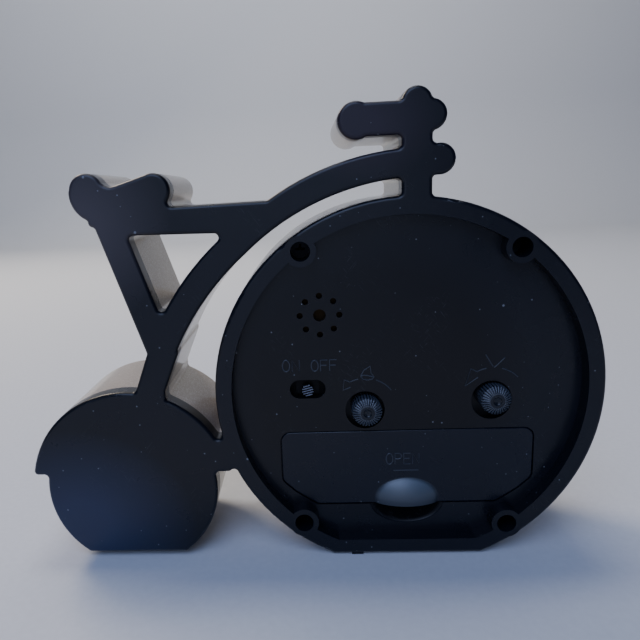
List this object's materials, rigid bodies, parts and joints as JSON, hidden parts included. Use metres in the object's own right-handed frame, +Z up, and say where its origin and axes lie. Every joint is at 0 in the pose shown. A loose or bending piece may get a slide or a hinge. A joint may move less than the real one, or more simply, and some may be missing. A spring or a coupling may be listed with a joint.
{
  "type": "alarm clock",
  "caption": "Battery alarm clock in a bicycle-shaped case, with a round dial, set knobs, a slide switch and a battery door behind.",
  "frame": {"origin": "on the table, straight below the dial's axis and half way through the case's depth", "axes": "+Z up, the dial faces -Y, the battery door faces +Y, and the small wheel is towards +X"},
  "size_m": [0.1606, 0.035, 0.129],
  "materials": {
    "shell": "cream satin moulded plastic",
    "cover": "near-black blue moulded plastic",
    "door": "near-black blue moulded plastic",
    "screw": "blackened steel",
    "lens": "clear acrylic",
    "inner_bezel": "cream moulded plastic",
    "dial": "printed card",
    "marks": "dark printed bars",
    "alarm_hand": "red lacquer",
    "hands": "black lacquer",
    "movement": "black moulded plastic",
    "plate": "white moulded plastic",
    "small_screw": "zinc-plated steel",
    "stator": "soft iron sheet",
    "bobbin": "black moulded plastic",
    "copper": "enamelled copper wire",
    "board": "phenolic board",
    "chip": "black resin",
    "can": "tinned can",
    "switch": "black moulded plastic",
    "slider": "black moulded plastic with worn ribs",
    "buzzer": "tarnished brass disc with a ceramic layer",
    "cell": "plain wrapped cell",
    "contact": "nickel-plated steel",
    "knob": "near-black blue moulded plastic",
    "gear": "white moulded plastic",
    "rotor": "ferrite magnet on a pinion"
  },
  "bodies": {
    "case": {"front_shell": "shell", "rear_cover": "cover", "case_screws": "screw", "lens": "lens", "inner_bezel": "inner_bezel", "dial": "dial", "dial_marks": "marks", "movement_front": "movement", "movement_back": "movement", "train_plate": "plate", "movement_screws": "small_screw", "mounting_screws": "small_screw", "stator": "stator", "coil_bobbin": "bobbin", "coil": "copper", "circuit_board": "board", "clock_chip": "chip", "quartz_crystal": "can", "switch_body": "switch", "buzzer": "buzzer", "battery": "cell", "battery_plate": "contact", "battery_spring": "contact"},
    "seconds": {"second_wheel": "gear", "second_hand": "hands"},
    "intermediate": {"intermediate_wheel": "gear"},
    "rotor": {"rotor": "rotor"},
    "third": {"third_wheel": "gear"},
    "centre": {"centre_wheel": "gear"},
    "time_set": {"time_set_shaft": "gear", "time_set_knob": "knob"},
    "idler": {"idler_wheel": "gear"},
    "minute_gear": {"minute_wheel": "gear"},
    "minutes": {"cannon_pinion": "gear", "minute_hand": "hands"},
    "hours": {"hour_wheel": "gear", "hour_hand": "hands"},
    "alarm_set": {"alarm_set_shaft": "gear", "alarm_set_knob": "knob"},
    "alarm_disc": {"alarm_wheel": "gear", "alarm_hand": "alarm_hand"},
    "switch": {"switch_slider": "slider"},
    "door": {"battery_door": "door"}
  },
  "joints": [
    {"name": "seconds_spin", "type": "hinge", "parent": "case", "child": "seconds", "pos_m": [0, 0, 0.04929], "axis": [0, 1, 0], "continuous": true},
    {"name": "intermediate_spin", "type": "hinge", "parent": "case", "child": "intermediate", "pos_m": [-0.00226, 0, 0.04309], "axis": [0, 1, 0], "continuous": true},
    {"name": "rotor_spin", "type": "hinge", "parent": "case", "child": "rotor", "pos_m": [-0.00752, 0, 0.04117], "axis": [0, 1, 0], "continuous": true},
    {"name": "third_spin", "type": "hinge", "parent": "case", "child": "third", "pos_m": [0.0034, 0, 0.05518], "axis": [0, 1, 0], "continuous": true},
    {"name": "centre_spin", "type": "hinge", "parent": "case", "child": "centre", "pos_m": [0, 0, 0.04929], "axis": [0, 1, 0], "continuous": true},
    {"name": "time_set_spin", "type": "hinge", "parent": "case", "child": "time_set", "pos_m": [-0.02475, 0, 0.0457], "axis": [0, 1, 0], "continuous": true},
    {"name": "idler_spin", "type": "hinge", "parent": "case", "child": "idler", "pos_m": [-0.01588, 0, 0.04549], "axis": [0, 1, 0], "continuous": true},
    {"name": "minute_gear_spin", "type": "hinge", "parent": "case", "child": "minute_gear", "pos_m": [-0.00595, 0, 0.04849], "axis": [0, 1, 0], "continuous": true},
    {"name": "minutes_spin", "type": "hinge", "parent": "case", "child": "minutes", "pos_m": [0, 0, 0.04929], "axis": [0, 1, 0], "continuous": true},
    {"name": "hours_spin", "type": "hinge", "parent": "case", "child": "hours", "pos_m": [0, 0, 0.04929], "axis": [0, 1, 0], "continuous": true},
    {"name": "alarm_set_spin", "type": "hinge", "parent": "case", "child": "alarm_set", "pos_m": [0.0107, 0, 0.0431], "axis": [0, 1, 0], "continuous": true},
    {"name": "alarm_disc_spin", "type": "hinge", "parent": "case", "child": "alarm_disc", "pos_m": [0, 0, 0.04929], "axis": [0, 1, 0], "continuous": true},
    {"name": "switch_slide", "type": "slide", "parent": "case", "child": "switch", "axis": [1, 0, 0], "range_m": [-0.0015, 0.0015]},
    {"name": "door_tilt", "type": "hinge", "parent": "case", "child": "door", "pos_m": [0, 0.01285, 0.03625], "axis": [1, 0, 0], "range_deg": [0, 60]}
  ],
  "couplings": [
    {"joint": "intermediate_spin", "follows": "seconds_spin", "ratio": -5},
    {"joint": "rotor_spin", "follows": "seconds_spin", "ratio": 30},
    {"joint": "third_spin", "follows": "seconds_spin", "ratio": -0.13333},
    {"joint": "centre_spin", "follows": "seconds_spin", "ratio": 0.016667},
    {"joint": "idler_spin", "follows": "time_set_spin", "ratio": -0.51064},
    {"joint": "minute_gear_spin", "follows": "time_set_spin", "ratio": 0.66667},
    {"joint": "minutes_spin", "follows": "time_set_spin", "ratio": -2},
    {"joint": "hours_spin", "follows": "time_set_spin", "ratio": -0.16667},
    {"joint": "alarm_disc_spin", "follows": "alarm_set_spin", "ratio": -0.41667}
  ]
}
